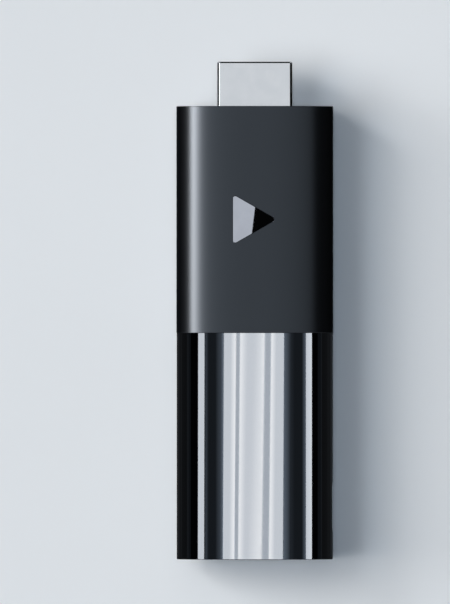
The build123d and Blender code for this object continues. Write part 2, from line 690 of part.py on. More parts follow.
def main():
    os.makedirs("parts", exist_ok=True)
    emblem_inlay, emblem_tape = emblem_parts()
    upper_frame, lower_frame = frames()
    rear_screws, front_screws = screws()
    radio_module, radio_can = radio_parts()
    led_chip, light_pipe = light_parts()
    nodes = {
        "matte_casing": matte_casing(),
        "gloss_casing": gloss_casing(),
        "emblem_inlay": emblem_inlay,
        "emblem_tape": emblem_tape,
        "plug_shell": plug_shell(),
        "plug_insulator": plug_insulator(),
        "plug_upper_contacts": plug_contacts(1, UPPER_CONTACTS),
        "plug_lower_contacts": plug_contacts(-1, LOWER_CONTACTS),
        "plug_rear_block": plug_rear_block(),
        "plug_gasket": plug_gasket(),
        "inlet_shell": inlet_shell(),
        "inlet_tongue": inlet_tongue(),
        "inlet_contacts": inlet_contacts(),
        "main_board": main_board(),
        "upper_frame": upper_frame,
        "lower_frame": lower_frame,
        "front_heat_spreader": front_heat_spreader(),
        "rear_heat_spreader": rear_heat_spreader(),
        "rear_screws": rear_screws,
        "front_screws": front_screws,
        "shield_fence": shield_fence(),
        "shield_lid": shield_lid(),
        "radio_module": radio_module,
        "radio_can": radio_can,
        "board_antenna": board_antenna(),
        "led_chip": led_chip,
        "light_pipe": light_pipe,
        "end_cushion": end_cushion(),
    }
    nodes |= thermal_pads() | chips() | power_parts() | small_parts()
    for node, shape in nodes.items():
        save(node, shape)


main()
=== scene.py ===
"""The streaming media stick's looks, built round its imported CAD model.

The frame is the CAD's own: X across the width, Y along the length towards the plug, Z up from the
underside. The casings, their openings and every name that ends in _MM are in millimetres. Everything
else is in metres, and angles are in degrees.
"""

import json
import math

import bmesh
import bpy
from mathutils import Matrix, Vector


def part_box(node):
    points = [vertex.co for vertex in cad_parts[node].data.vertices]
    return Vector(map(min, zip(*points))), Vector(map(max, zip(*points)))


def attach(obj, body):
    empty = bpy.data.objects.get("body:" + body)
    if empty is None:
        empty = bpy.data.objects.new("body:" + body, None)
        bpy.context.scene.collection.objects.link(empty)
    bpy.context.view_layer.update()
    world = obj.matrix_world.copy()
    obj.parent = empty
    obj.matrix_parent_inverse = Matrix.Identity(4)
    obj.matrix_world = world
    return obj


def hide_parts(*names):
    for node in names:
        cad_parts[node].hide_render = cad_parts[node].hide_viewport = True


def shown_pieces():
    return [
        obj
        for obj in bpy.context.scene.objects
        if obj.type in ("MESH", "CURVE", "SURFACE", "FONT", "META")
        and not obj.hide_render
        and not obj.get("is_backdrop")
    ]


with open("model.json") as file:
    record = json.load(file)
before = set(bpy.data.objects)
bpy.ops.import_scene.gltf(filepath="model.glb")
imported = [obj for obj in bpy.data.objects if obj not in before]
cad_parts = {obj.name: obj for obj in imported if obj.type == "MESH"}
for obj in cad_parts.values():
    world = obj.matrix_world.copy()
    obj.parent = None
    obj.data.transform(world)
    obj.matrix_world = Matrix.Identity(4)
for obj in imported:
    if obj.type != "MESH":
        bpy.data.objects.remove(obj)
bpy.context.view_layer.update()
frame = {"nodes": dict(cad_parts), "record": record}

MM = 0.001

# The casings' outline and walls, as the CAD has them
SQUARENESS = 3.0
LAND_DEPTH = 0.1
WALL = 1.3
END_WALL = 1.4
SPIGOT_WALL = 0.6
SPIGOT_GAP = 0.07
EDGE_ROUND = 0.08
JOINT_ROUND = 0.04

# How finely the casings are drawn, the least radius of a corner that is moved inwards, and the angle
# above which an edge stays sharp
OUTLINE_STEPS = 300
LAND_STEPS = 24
ROUND_STEPS = 6
CORNER_STEPS = 8
LEAST_TURN = 0.01
SHARP_ANGLE = 32

# Openings in the casings. The inlet's opening and recess are a length, a height and a corner's radius,
# and the recess has the X of its floor too.
PLUG_HALF = 6.95
PLUG_FOOT_HALF = 5.35
PLUG_HEIGHT = 4.45
PLUG_SIDE = 2.75
PLUG_ROUND = 0.5
PLUG_GAP = 0.15
INLET_Y = -36.5
INLET_OPENING = (8.3, 3.3, 0.9)
INLET_RECESS = (9.2, 4.2, 1.3, 14.08)
LIGHT_Y = -29.5
LIGHT_HOLE = 0.75
EMBLEM_WIDTH = 8.2
EMBLEM_HEIGHT = 9.4
EMBLEM_ROUND = 0.5
EMBLEM_GAP = 0.04
EMBLEM_DEPTH = 0.32

# The room left beyond the spigot's end in its socket
SOCKET_ROOM = 0.2

# Cutters of the side openings start in the bore, and every cutter runs on past the face
SIDE_CUT_START = 10.0
CUT_PAST = 1.0

# The camera looks straight down on the emblem's face. The picture's long side is measured at the
# height where the casings are widest.
CAMERA_PLACE_MM = (-5.53, 1.58)
CAMERA_LENS_MM = 1000.0
CAMERA_SENSOR_MM = 36.0
FRAME_LONG_SIDE = 112.26 * MM
SILHOUETTE_Z = 7.6 * MM
CAMERA_REACH = CAMERA_LENS_MM / CAMERA_SENSOR_MM * FRAME_LONG_SIDE
UP = Vector((0, 0, 1))

# Colours of the stage and its light
PALE = (0.708, 0.745, 0.776)
FLOOR_DARK = (0.80, 0.83, 0.85)
FLOOR_LIGHT = (0.81, 0.84, 0.86)
WARM = (1.02, 1.0, 0.966)
COOL = (0.88, 0.96, 1.08)
NEUTRAL = (0.97, 1.0, 1.03)
AMBER = (1.16, 1.0, 0.84)
WARMER = (1.04, 1.0, 0.94)
COLD = (0.90, 1.0, 1.14)
COLDER = (0.845, 1.0, 1.206)
COLDEST = (0.80, 1.0, 1.28)
BLUISH = (0.936, 1.0, 1.092)

# How far the line between the emblem's bright and dark halves leans from the length
EMBLEM_SLANT = 7

# The world's light: everywhere, towards the four diagonals, and towards the foot. A higher power
# gathers the last two more closely.
WORLD_BASE = 0.002
WORLD_DIAGONALS = 1.4
WORLD_FOOT = 0.5
WORLD_POWER = 4.0


def box_mm(node):
    """A CAD node's lowest and highest corners, in millimetres."""
    low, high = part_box(node)
    return low / MM, high / MM


matte_low, matte_high = box_mm("matte_casing")
gloss_low, gloss_high = box_mm("gloss_casing")
THICKNESS = matte_high.z
HALF_WIDTH = min(matte_high.x, -matte_low.x)
GLOSS_HALF = min(gloss_high.x, -gloss_low.x)
HALF_HEIGHT = (THICKNESS + LAND_DEPTH) / 2
Z_MID = THICKNESS - HALF_HEIGHT
Y_SHOULDER = matte_high.y
Y_JOINT = matte_low.y
Y_FOOT = gloss_low.y
Y_SPIGOT = gloss_high.y


# ---------------------------------------------------------------- outlines and meshes


def signed_power(value, exponent):
    """A power of the value's size, with the value's sign."""
    return math.copysign(abs(value) ** exponent, value)


def section(inset, floor):
    """Points (x, z) of the body's outline, moved inwards by inset and cut flat at height floor."""
    half_width = HALF_WIDTH - inset
    half_height = HALF_HEIGHT - inset
    cut = math.asin(((Z_MID - floor) / half_height) ** (SQUARENESS / 2))
    points = []
    for i in range(OUTLINE_STEPS + 1):
        angle = -cut + (math.pi + 2 * cut) * i / OUTLINE_STEPS
        x = half_width * signed_power(math.cos(angle), 2 / SQUARENESS)
        z = Z_MID + half_height * signed_power(math.sin(angle), 2 / SQUARENESS)
        points.append((x, z))
    last, first = points[-1], points[0]
    for i in range(1, LAND_STEPS):
        share = i / LAND_STEPS
        points.append((last[0] + (first[0] - last[0]) * share, floor))
    return points


def rounded(corners, radius, inset=0.0):
    """A convex outline, its corners given anticlockwise, rounded and then moved inwards by inset."""
    reach = max(radius, inset)
    turn = max(radius - inset, LEAST_TURN)
    count = len(corners)
    points = []
    for i in range(count):
        before = Vector(corners[i - 1])
        here = Vector(corners[i])
        after = Vector(corners[(i + 1) % count])
        into = (here - before).normalized()
        out = (after - here).normalized()
        normal_in = Vector((-into.y, into.x))
        normal_out = Vector((-out.y, out.x))
        middle = (normal_in + normal_out).normalized()
        centre = here + middle * (reach / middle.dot(normal_in))
        start = math.atan2(-normal_in.y, -normal_in.x)
        sweep = (math.atan2(-normal_out.y, -normal_out.x) - start) % (2 * math.pi)
        for step in range(CORNER_STEPS + 1):
            angle = start + sweep * step / CORNER_STEPS
            points.append((centre.x + turn * math.cos(angle), centre.y + turn * math.sin(angle)))
    return points


def rounded_rectangle(middle, length, height, radius):
    """A rounded rectangle round a middle point."""
    half_length, half_height = length / 2, height / 2
    corners = [(-half_length, -half_height), (half_length, -half_height)]
    corners += [(half_length, half_height), (-half_length, half_height)]
    shifted = [(middle[0] + a, middle[1] + b) for a, b in corners]
    return rounded(shifted, radius)


def plug_outline(inset):
    """The plug's outline in X and Z, moved inwards by inset."""
    top = Z_MID + PLUG_HEIGHT / 2
    foot = top - PLUG_HEIGHT
    corners = [(-PLUG_FOOT_HALF, foot), (PLUG_FOOT_HALF, foot), (PLUG_HALF, top - PLUG_SIDE)]
    corners += [(PLUG_HALF, top), (-PLUG_HALF, top), (-PLUG_HALF, top - PLUG_SIDE)]
    return rounded(corners, PLUG_ROUND, inset)


def along(axis, place, outline):
    """A ring of points in metres: an outline set across one axis at one place along it."""
    if axis == "X":
        return [Vector((place, a, b)) * MM for a, b in outline]
    if axis == "Y":
        return [Vector((a, place, b)) * MM for a, b in outline]
    return [Vector((a, b, place)) * MM for a, b in outline]


def skin(name, rings):
    """A mesh over rings of equal count, with its ends capped."""
    mesh = bmesh.new()
    rows = [[mesh.verts.new(point) for point in ring] for ring in rings]
    count = len(rows[0])
    for near, far in zip(rows, rows[1:]):
        for i in range(count):
            j = (i + 1) % count
            mesh.faces.new((near[i], near[j], far[j], far[i]))
    mesh.faces.new(list(reversed(rows[0])))
    mesh.faces.new(rows[-1])
    bmesh.ops.recalc_face_normals(mesh, faces=mesh.faces)
    data = bpy.data.meshes.new(name)
    mesh.to_mesh(data)
    mesh.free()
    obj = bpy.data.objects.new(name, data)
    bpy.context.scene.collection.objects.link(obj)
    return obj


def quarter(y_flat, y_side, base, radius):
    """(y, inset) pairs of a rounded rim, from the flat end at y_flat to the side beyond y_side."""
    sign = math.copysign(1, y_side - y_flat)
    pairs = []
    for i in range(ROUND_STEPS + 1):
        angle = math.pi / 2 * i / ROUND_STEPS
        y = y_flat + sign * radius * (1 - math.cos(angle))
        pairs.append((y, base + radius * (1 - math.sin(angle))))
    return pairs


def cut(obj, cutters):
    """Takes the cutters out of obj and removes them."""
    for cutter in cutters:
        modifier = obj.modifiers.new("cut", "BOOLEAN")
        modifier.operation = "DIFFERENCE"
        modifier.solver = "EXACT"
        modifier.object = cutter
    graph = bpy.context.evaluated_depsgraph_get()
    data = bpy.data.meshes.new_from_object(obj.evaluated_get(graph))
    obj.modifiers.clear()
    obj.data = data
    for cutter in cutters:
        bpy.data.objects.remove(cutter)


def smooth(obj):
    """Smooth shading that keeps the edges sharper than the angle."""
    obj.data.shade_smooth()
    obj.data.set_sharp_from_angle(angle=math.radians(SHARP_ANGLE))
    modifier = obj.modifiers.new("even_normals", "WEIGHTED_NORMAL")
    modifier.keep_sharp = True
    modifier.weight = 100


def prism(name, axis, outline, start, end):
    """A straight solid with one outline, from start to end along one axis."""
    return skin(name, [along(axis, start, outline), along(axis, end, outline)])


# ---------------------------------------------------------------- materials


class Shader:
    """A material under construction: its nodes, its links and its principled shader."""

    def __init__(self, name):
        self.material = bpy.data.materials.new(name)
        self.material.use_nodes = True
        tree = self.material.node_tree
        self.nodes, self.links = tree.nodes, tree.links
        self.surface = self.nodes["Principled BSDF"]
        self.place = self.nodes.new("ShaderNodeTexCoord").outputs["Object"]

    def add(self, kind, values=None, **settings):
        """A new node, with its settings, and its sockets fed from values."""
        node = self.nodes.new(kind)
        for key, value in settings.items():
            setattr(node, key, value)
        for key, value in (values or {}).items():
            self.feed(node.inputs[key], value)
        return node

    def feed(self, socket, value):
        """Links a socket to an output, or sets its value."""
        if isinstance(value, bpy.types.NodeSocket):
            self.links.new(value, socket)
        else:
            socket.default_value = value

    def set(self, **sockets):
        """Sets the principled shader's sockets; underscores stand for spaces."""
        for key, value in sockets.items():
            self.feed(self.surface.inputs[key.replace("_", " ")], value)

    def noise(self, size, detail=3.0, stretch=(1, 1, 1)):
        """Noise with features of one size in metres, drawn out by stretch along each axis."""
        scale = [1 / (size * s) for s in stretch]
        spread = self.add("ShaderNodeMapping", {"Vector": self.place, "Scale": scale})
        values = {"Vector": spread.outputs[0], "Scale": 1.0, "Detail": detail}
        return self.add("ShaderNodeTexNoise", values).outputs["Fac"]

    def patches(self, size, detail=3.0, stretch=(1, 1, 1)):
        """Noise drawn apart into patches, from 0 to 1."""
        return self.remap(self.noise(size, detail, stretch), 0.35, 0.65, 0.0, 1.0)

    def roughness(self, grain, low, high):
        """Roughness that follows a grain from low to high."""
        return self.remap(grain, 0.3, 0.7, low, high)

    def cells(self, size):
        """The distance from the middles of cells of one size in metres."""
        values = {"Vector": self.place, "Scale": 1 / size}
        return self.add("ShaderNodeTexVoronoi", values).outputs["Distance"]

    def remap(self, value, low, high, new_low, new_high):
        """A value's range low to high, mapped onto another range and clamped to it."""
        values = {"Value": value, 1: low, 2: high, 3: new_low, 4: new_high}
        return self.add("ShaderNodeMapRange", values).outputs[0]

    def mix(self, share, first, second):
        """Two colours mixed by share. Either is a tuple or an output."""
        node = self.add("ShaderNodeMix", data_type="RGBA")
        self.feed(node.inputs["Factor"], share)
        for socket, value in ((node.inputs[6], first), (node.inputs[7], second)):
            self.feed(socket, (*value, 1.0) if isinstance(value, tuple) else value)
        return node.outputs[2]

    def relief(self, height, depth, under=None):
        """A bump of some depth in metres, laid over another bump if there is one."""
        values = {"Height": height, "Distance": depth, "Strength": 1.0}
        if under is not None:
            values["Normal"] = under
        return self.add("ShaderNodeBump", values).outputs[0]


def speckled(name, dark, light, patch, grain, rough, depth, metallic=0.0, stretch=(1, 1, 1)):
    """Two colours in patches, a finer grain in the roughness, and the same grain as relief."""
    shader = Shader(name)
    patches = shader.patches(patch, 4.0, stretch)
    fine = shader.noise(grain, 2.0, stretch)
    shader.set(
        Base_Color=shader.mix(patches, dark, light),
        Roughness=shader.roughness(fine, *rough),
        Metallic=metallic,
        Normal=shader.relief(fine, depth),
    )
    return shader.material


def casing_matte():
    """Dark satin moulding with a fine spark-eroded grain."""
    shader = Shader("casing_matte")
    patches = shader.patches(6 * MM)
    grain = shader.noise(0.13 * MM, 2.0)
    shader.set(
        Base_Color=shader.mix(patches, (0.0009, 0.0010, 0.0012), (0.0012, 0.0013, 0.0016)),
        Roughness=shader.roughness(grain, 0.285, 0.315),
        IOR=1.5,
        Normal=shader.relief(grain, 0.0006 * MM),
    )
    return shader.material


def casing_gloss():
    """Polished black moulding, with the faintest waviness."""
    shader = Shader("casing_gloss")
    tint = shader.patches(9 * MM)
    haze = shader.noise(1.5 * MM, 5.0)
    shader.set(
        Base_Color=shader.mix(tint, (0.0010, 0.0011, 0.0013), (0.0014, 0.0015, 0.0018)),
        Roughness=shader.roughness(haze, 0.030, 0.045),
        IOR=1.62,
    )
    return shader.material


def emblem_metal():
    """Polished metal with a hairline grain."""
    shader = Shader("emblem_metal")
    hairlines = shader.noise(0.03 * MM, 2.0, (40, 1, 1))
    patches = shader.patches(3 * MM)
    shader.set(
        Base_Color=shader.mix(patches, (0.62, 0.61, 0.62), (0.66, 0.65, 0.66)),
        Roughness=shader.roughness(hairlines, 0.006, 0.012),
        Metallic=1.0,
    )
    return shader.material


def plug_steel():
    """Satin nickel over steel sheet, drawn along the plug."""
    shader = Shader("plug_steel")
    drawn = shader.noise(0.05 * MM, 3.0, (1, 30, 1))
    patches = shader.patches(2.5 * MM, 4.0)
    shader.set(
        Base_Color=shader.mix(patches, (0.72, 0.70, 0.665), (0.755, 0.73, 0.69)),
        Roughness=shader.roughness(drawn, 0.10, 0.14),
        Metallic=1.0,
        Normal=shader.relief(drawn, 0.0002 * MM),
    )
    return shader.material


def board_laminate():
    """Green solder mask over copper traces, with plated vias."""
    shader = Shader("board_laminate")
    bands = shader.add(
        "ShaderNodeTexWave",
        {"Vector": shader.place, "Scale": 0.35 / MM, "Distortion": 14.0, "Detail": 0.0},
        bands_direction="DIAGONAL",
    )
    traces = shader.remap(bands.outputs["Fac"], 0.62, 0.70, 0.0, 1.0)
    via = shader.remap(shader.cells(1.8 * MM), 0.07, 0.09, 1.0, 0.0)
    mask = shader.mix(traces, (0.004, 0.040, 0.020), (0.012, 0.085, 0.038))
    raised = shader.relief(traces, 0.015 * MM)
    shader.set(
        Base_Color=shader.mix(via, mask, (0.62, 0.46, 0.20)),
        Roughness=shader.remap(via, 0.0, 1.0, 0.38, 0.25),
        Metallic=via,
        Normal=shader.relief(shader.noise(0.3 * MM), 0.004 * MM, raised),
    )
    return shader.material


def light_pipe():
    """Clear plastic, slightly milky."""
    shader = Shader("light_pipe")
    cloud = shader.patches(0.6 * MM)
    shader.set(
        Base_Color=shader.mix(cloud, (0.78, 0.81, 0.84), (0.88, 0.90, 0.92)),
        Roughness=shader.remap(cloud, 0.0, 1.0, 0.16, 0.24),
        Transmission_Weight=0.6,
        IOR=1.49,
    )
    return shader.material


def moulded(name, dark, light, rough=(0.42, 0.55)):
    """A plain moulding with a fine texture."""
    return speckled(name, dark, light, 2 * MM, 0.12 * MM, rough, 0.004 * MM)


def sheet_metal(name, dark, light, rough=(0.22, 0.34), stretch=(1, 12, 1)):
    """Rolled or plated sheet, with a grain drawn out one way."""
    return speckled(name, dark, light, 3 * MM, 0.08 * MM, rough, 0.0008 * MM, 1.0, stretch)


def soft(name, dark, light, grain=0.25 * MM):
    """Silicone or foam."""
    return speckled(name, dark, light, 1.5 * MM, grain, (0.6, 0.8), 0.02 * MM)


MATERIALS = {
    "casing_matte": casing_matte(),
    "casing_gloss": casing_gloss(),
    "emblem_metal": emblem_metal(),
    "plug_steel": plug_steel(),
    "contact_gold": sheet_metal("contact_gold", (0.78, 0.56, 0.22), (0.86, 0.66, 0.30), (0.16, 0.24)),
    "connector_plastic": moulded("connector_plastic", (0.010, 0.010, 0.011), (0.016, 0.016, 0.018)),
    "board_laminate": board_laminate(),
    "copper": sheet_metal("copper", (0.62, 0.36, 0.18), (0.76, 0.47, 0.26)),
    "chip_epoxy": moulded("chip_epoxy", (0.016, 0.016, 0.018), (0.028, 0.028, 0.030), (0.5, 0.62)),
    "shield_tin": sheet_metal("shield_tin", (0.58, 0.59, 0.60), (0.70, 0.71, 0.72)),
    "thermal_pad": soft("thermal_pad", (0.22, 0.27, 0.42), (0.30, 0.36, 0.52)),
    "heat_spreader": speckled(
        "heat_spreader",
        (0.66, 0.67, 0.69),
        (0.78, 0.79, 0.81),
        patch=4 * MM,
        grain=0.1 * MM,
        rough=(0.38, 0.5),
        depth=0.006 * MM,
        metallic=1.0,
    ),
    "frame_plastic": moulded("frame_plastic", (0.020, 0.020, 0.022), (0.034, 0.034, 0.037)),
    "ceramic_body": speckled(
        "ceramic_body",
        (0.36, 0.26, 0.16),
        (0.52, 0.40, 0.27),
        patch=0.8 * MM,
        grain=0.06 * MM,
        rough=(0.45, 0.6),
        depth=0.003 * MM,
    ),
    "resistor_body": moulded("resistor_body", (0.020, 0.020, 0.023), (0.040, 0.040, 0.045)),
    "tantalum_body": moulded("tantalum_body", (0.56, 0.30, 0.05), (0.72, 0.42, 0.08)),
    "ferrite": soft("ferrite", (0.05, 0.05, 0.053), (0.09, 0.09, 0.095), 0.08 * MM),
    "screw_steel": sheet_metal("screw_steel", (0.44, 0.44, 0.45), (0.58, 0.58, 0.59), (0.26, 0.4), (1, 1, 6)),
    "foam": soft("foam", (0.018, 0.018, 0.019), (0.035, 0.035, 0.037), 0.35 * MM),
    "silicone": soft("silicone", (0.05, 0.05, 0.053), (0.085, 0.085, 0.09)),
    "adhesive": soft("adhesive", (0.62, 0.60, 0.53), (0.75, 0.73, 0.66)),
    "light_pipe": light_pipe(),
    "led_body": moulded("led_body", (0.72, 0.70, 0.52), (0.88, 0.86, 0.72), (0.2, 0.3)),
}


def finish_piece(obj, slot, node):
    """Gives a new piece its material and body, and hides the CAD node it stands in for."""
    obj.data.materials.clear()
    obj.data.materials.append(MATERIALS[slot])
    smooth(obj)
    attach(obj, "root")
    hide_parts(node)


# ---------------------------------------------------------------- the casings


def build_matte_casing():
    """The upper casing: outside, rim, socket and bore in one skin, then its two openings."""
    socket = WALL - SPIGOT_WALL - SPIGOT_GAP
    y_inside = Y_SHOULDER - END_WALL
    steps = quarter(Y_SHOULDER, Y_JOINT, 0.0, EDGE_ROUND)
    steps += list(reversed(quarter(Y_JOINT, Y_SHOULDER, 0.0, JOINT_ROUND)))
    y_step = Y_SPIGOT + SOCKET_ROOM
    steps += [(Y_JOINT, socket), (y_step, socket), (y_step, WALL), (y_inside, WALL)]
    rings = [along("Y", y, section(inset, inset)) for y, inset in steps]
    casing = skin("upper_casing", rings)
    slot = prism("slot", "Y", plug_outline(-PLUG_GAP), y_inside - CUT_PAST, Y_SHOULDER + CUT_PAST)
    low, high = box_mm("emblem_inlay")
    edge = rounded(emblem_corners(low, high), EMBLEM_ROUND, -EMBLEM_GAP)
    pocket = prism("pocket", "Z", edge, high.z - EMBLEM_DEPTH, high.z + CUT_PAST)
    cut(casing, [slot, pocket])
    finish_piece(casing, "casing_matte", "matte_casing")


def emblem_corners(low, high):
    """The emblem's triangle, whose rounded corners the CAD node's box touches."""
    middle = (low.y + high.y) / 2
    tip = (low.x + EMBLEM_WIDTH, middle)
    return [(low.x, middle - EMBLEM_HEIGHT / 2), tip, (low.x, middle + EMBLEM_HEIGHT / 2)]


def build_gloss_casing():
    """The lower casing: outside, rim, spigot and bore in one skin, then the inlet and the light."""
    step = HALF_WIDTH - GLOSS_HALF
    spigot = WALL - SPIGOT_WALL
    y_inside = Y_FOOT + END_WALL
    steps = quarter(Y_FOOT, Y_JOINT, step, EDGE_ROUND)
    steps += list(reversed(quarter(Y_JOINT, Y_FOOT, step, JOINT_ROUND)))
    outer = [(y, inset, inset - step) for y, inset in steps]
    inner = [(Y_JOINT, spigot), (Y_SPIGOT, spigot), (Y_SPIGOT, WALL), (y_inside, WALL)]
    inner = [(y, inset, inset) for y, inset in inner]
    rings = [along("Y", y, section(inset, floor)) for y, inset, floor in outer + inner]
    casing = skin("lower_casing", rings)
    middle = (INLET_Y, Z_MID)
    x_past = HALF_WIDTH + CUT_PAST
    length, height, radius, x_floor = INLET_RECESS
    recess = prism("recess", "X", rounded_rectangle(middle, length, height, radius), x_floor, x_past)
    length, height, radius = INLET_OPENING
    edge = rounded_rectangle(middle, length, height, radius)
    opening = prism("opening", "X", edge, SIDE_CUT_START, x_past)
    round_hole = rounded_rectangle((LIGHT_Y, Z_MID), 2 * LIGHT_HOLE, 2 * LIGHT_HOLE, LIGHT_HOLE)
    light = prism("light", "X", round_hole, SIDE_CUT_START, x_past)
    cut(casing, [recess, opening, light])
    finish_piece(casing, "casing_gloss", "gloss_casing")
    return casing


build_matte_casing()
lower_casing = build_gloss_casing()

for row in frame["record"]["subparts"]:
    node = frame["nodes"][row["node"]]
    node.data.materials.clear()
    node.data.materials.append(MATERIALS[row["material_slot"]])


# ---------------------------------------------------------------- stage, light and camera


def collection(name, objects):
    """A collection that lists the objects a light falls on."""
    group = bpy.data.collections.new(name)
    for obj in objects:
        group.objects.link(obj)
    return group


def make_floor():
    """A pale, faintly mottled floor that reflections pass through."""
    shader = Shader("floor")
    mottle = shader.remap(shader.noise(40 * MM), 0.3, 0.7, 0.0, 1.0)
    pale = shader.mix(mottle, FLOOR_DARK, FLOOR_LIGHT)
    shader.set(Base_Color=pale, Roughness=0.9, Specular_IOR_Level=0.0)
    reach = 8.0
    corners = [(-reach, -reach), (reach, -reach), (reach, reach), (-reach, reach)]
    data = bpy.data.meshes.new("floor")
    data.from_pydata([(x, y, 0) for x, y in corners], [], [(0, 1, 2, 3)])
    floor = bpy.data.objects.new("floor", data)
    bpy.context.scene.collection.objects.link(floor)
    data.materials.append(shader.material)
    floor.visible_glossy = False
    floor.visible_diffuse = False
    floor.visible_shadow = False
    floor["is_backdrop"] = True
    return floor


floor = make_floor()
plug = frame["nodes"]["plug_shell"]
emblem = frame["nodes"]["emblem_inlay"]
others = [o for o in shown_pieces() if o not in (lower_casing, plug, emblem, floor)]
on_floor = collection("lit_floor", [floor])
on_gloss = collection("lit_gloss", [lower_casing])
on_plug = collection("lit_plug", [plug])
on_emblem = collection("lit_emblem", [emblem])
on_others = collection("lit_others", others)
FITTINGS = ["inlet_shell", "inlet_tongue", "inlet_contacts", "light_pipe"]
FITTINGS += ["plug_insulator", "plug_upper_contacts", "plug_lower_contacts"]
on_fittings = collection("lit_fittings", [frame["nodes"][name] for name in FITTINGS])


def towards(elevation, azimuth):
    """A direction. Azimuth 0 is -X and turns towards +Y."""
    e, a = math.radians(elevation), math.radians(azimuth)
    return Vector((-math.cos(e) * math.cos(a), math.cos(e) * math.sin(a), math.sin(e)))


def sun(name, elevation, azimuth, spread, strength, colour, receivers):
    """A soft sun from the direction that elevation and azimuth give; spread is its width in degrees."""
    data = bpy.data.lights.new(name, "SUN")
    data.energy = strength
    data.color = colour
    data.angle = math.radians(spread)
    light = bpy.data.objects.new(name, data)
    bpy.context.scene.collection.objects.link(light)
    light.rotation_mode = "QUATERNION"
    light.rotation_quaternion = towards(elevation, azimuth).to_track_quat("Z", "Y")
    light.light_linking.receiver_collection = receivers


def panel(name, place, aim, size, radiance, colour, receivers, up=Vector((0, 1, 0))):
    """A one-sided rectangular panel that shines towards aim; its height runs along up."""
    data = bpy.data.lights.new(name, "AREA")
    data.shape = "RECTANGLE"
    data.size, data.size_y = size
    data.energy = math.pi * size[0] * size[1] * radiance
    data.color = colour
    light = bpy.data.objects.new(name, data)
    bpy.context.scene.collection.objects.link(light)
    back = (place - aim).normalized()
    side = up.cross(back).normalized()
    turned = back.cross(side)
    light.matrix_world = Matrix.Translation(place) @ Matrix((side, turned, back)).transposed().to_4x4()
    light.visible_camera = False
    light.light_linking.receiver_collection = receivers
    return light


def view_place(azimuth, elevation):
    """A camera place for a view from the side. Azimuth 0 is -Y and turns towards +X."""
    a, e = math.radians(azimuth), math.radians(elevation)
    return Vector((math.sin(a) * math.cos(e), -math.cos(a) * math.cos(e), math.sin(e))) * CAMERA_REACH


def camera_place():
    """The camera's place: over the stick, as far away as its lens needs."""
    x, y = CAMERA_PLACE_MM
    return Vector((x * MM, y * MM, SILHOUETTE_Z + CAMERA_REACH))


def make_camera():
    """The scene's camera, looking straight down."""
    data = bpy.data.cameras.new("camera")
    data.lens = CAMERA_LENS_MM
    data.sensor_width = CAMERA_SENSOR_MM
    data.clip_end = 10.0
    camera = bpy.data.objects.new("camera", data)
    bpy.context.scene.collection.objects.link(camera)
    camera.location = camera_place()
    bpy.context.scene.camera = camera


def mirrored(x, y, half_width, eye):
    """(point, direction) of the ray that an eye sees mirrored in the casing's upper side at x, y."""
    share = abs(x) / half_width
    z = Z_MID + HALF_HEIGHT * (1 - share**SQUARENESS) ** (1 / SQUARENESS)
    slope_x = signed_power(x / half_width, SQUARENESS - 1) / half_width
    slope_z = ((z - Z_MID) / HALF_HEIGHT) ** (SQUARENESS - 1) / HALF_HEIGHT
    normal = Vector((slope_x, 0, slope_z)).normalized()
    point = Vector((x, y, z)) * MM
    ray = (point - eye).normalized()
    return point, ray - 2 * ray.dot(normal) * normal


def card(name, left, right, radiance, drift=(0.0, 0.0), colour=BLUISH, eye=camera_place()):
    """A light card that the glossy casing mirrors as a band between two places across its width.

    Radiance is that of the left and the right edge. Drift moves the edges by the far end, in millimetres.
    """
    reach = 0.6
    overlap = 0.4
    length = Y_JOINT - Y_FOOT

    def edge(x, moved):
        ends = []
        for share in (-overlap, 1 + overlap):
            point, ray = mirrored(x + moved * share, Y_JOINT - length * share, GLOSS_HALF, eye)
            ends.append(point + ray * reach)
        return ends

    left_ends, right_ends = edge(left, drift[0]), edge(right, drift[1])
    top = (left_ends[0] + right_ends[0]) / 2
    bottom = (left_ends[1] + right_ends[1]) / 2
    up = (top - bottom).normalized()
    across = (right_ends[0] + right_ends[1] - left_ends[0] - left_ends[1]) / 2
    across -= up * across.dot(up)
    back = across.cross(up).normalized()
    place = (top + bottom) / 2
    size = (across.length, (top - bottom).length)
    if back.z < 0:
        back = -back
    shade(panel(name, place, place - back, size, 1.0, colour, on_gloss, up), radiance)


def shade(light, across, along=(1.0, 1.0)):
    """Ramps a panel's radiance from its left edge to its right edge, times a ramp from foot to top."""
    light.data.use_nodes = True
    tree = light.data.node_tree
    place = tree.nodes.new("ShaderNodeNewGeometry")
    split = tree.nodes.new("ShaderNodeSeparateXYZ")
    product = tree.nodes.new("ShaderNodeMath")
    product.operation = "MULTIPLY"
    tree.links.new(place.outputs["Parametric"], split.inputs[0])
    for axis, socket, (start, end) in zip("XY", product.inputs, (across, along)):
        ramp = tree.nodes.new("ShaderNodeMapRange")
        tree.links.new(split.outputs[axis], ramp.inputs["Value"])
        ramp.inputs["To Min"].default_value = start
        ramp.inputs["To Max"].default_value = end
        tree.links.new(ramp.outputs[0], socket)
    tree.links.new(product.outputs[0], tree.nodes["Emission"].inputs["Strength"])


